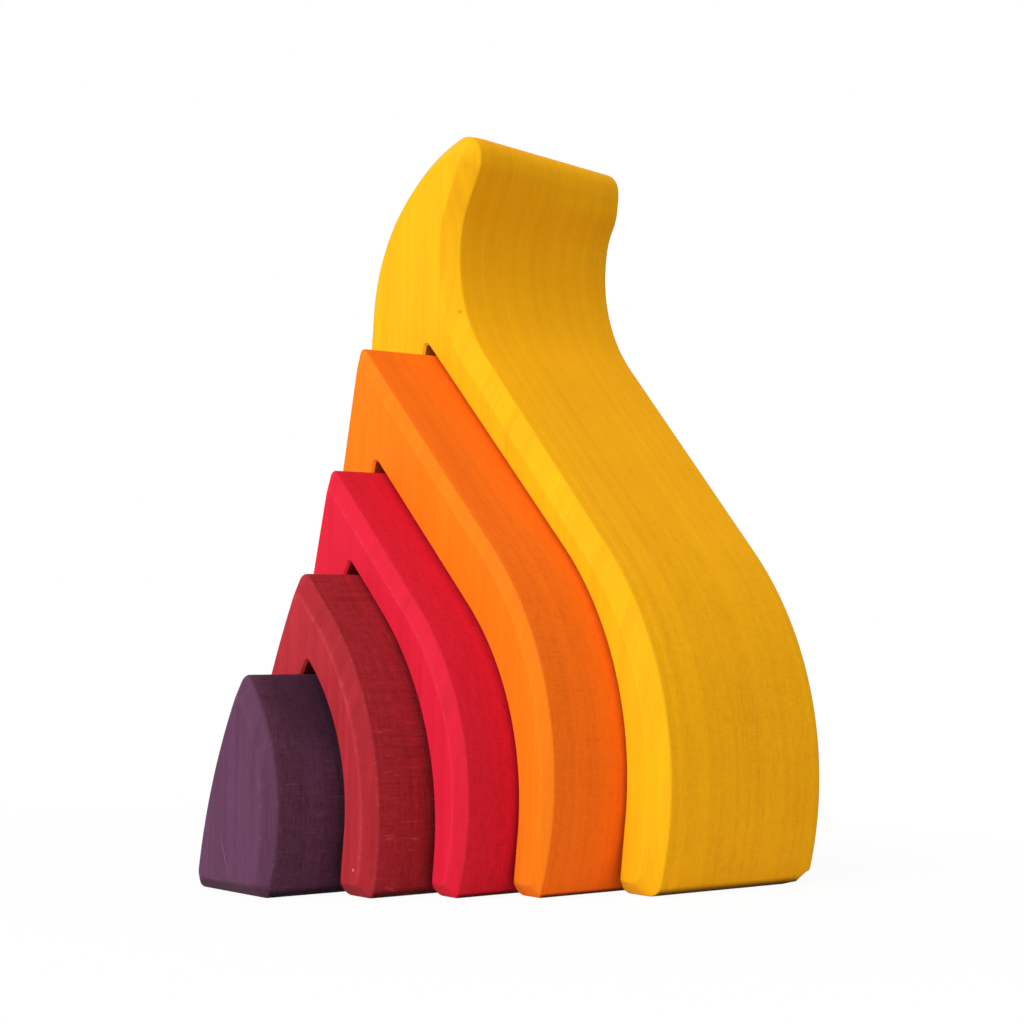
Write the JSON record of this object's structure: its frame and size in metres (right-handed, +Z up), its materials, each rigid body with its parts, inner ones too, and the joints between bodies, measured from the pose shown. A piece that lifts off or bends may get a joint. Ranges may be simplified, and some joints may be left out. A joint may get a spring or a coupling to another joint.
{
  "type": "nesting flame stacker",
  "caption": "Nesting wooden toy of stained pointed arches sawn from one flame-shaped block, standing stepped out of each other round a solid core, the outermost curling to a rounded tip",
  "frame": {"origin": "on the table, under the middle of the box round the whole stepped stack", "axes": "+X along the front faces to the belly side, +Y from the front to the back, along the depth of the pieces, +Z up"},
  "size_m": [0.144, 0.1618, 0.2179],
  "materials": {
    "yellow_stain": "matt, stained solid wood, grain along Z",
    "orange_stain": "matt, stained solid wood, grain along Z",
    "crimson_stain": "matt, stained solid wood, grain along Z",
    "dark_red_stain": "matt, stained solid wood, grain along Z",
    "purple_stain": "matt, stained solid wood, grain along Z"
  },
  "bodies": {
    "flame": {"yellow_flame": "yellow_stain"},
    "orange": {"orange_arch": "orange_stain"},
    "crimson": {"crimson_arch": "crimson_stain"},
    "dark_red": {"dark_red_arch": "dark_red_stain"},
    "core": {"purple_core": "purple_stain"}
  },
  "joints": [
    {"name": "orange_slide", "type": "slide", "parent": "flame", "child": "orange", "axis": [0, 1, 0], "range_m": [-0.0415, 0.0285]},
    {"name": "crimson_slide", "type": "slide", "parent": "orange", "child": "crimson", "axis": [0, 1, 0], "range_m": [-0.0502, 0.0198]},
    {"name": "dark_red_slide", "type": "slide", "parent": "crimson", "child": "dark_red", "axis": [0, 1, 0], "range_m": [-0.0497, 0.0203]},
    {"name": "core_slide", "type": "slide", "parent": "dark_red", "child": "core", "axis": [0, 1, 0], "range_m": [-0.0467, 0.0233]}
  ]
}
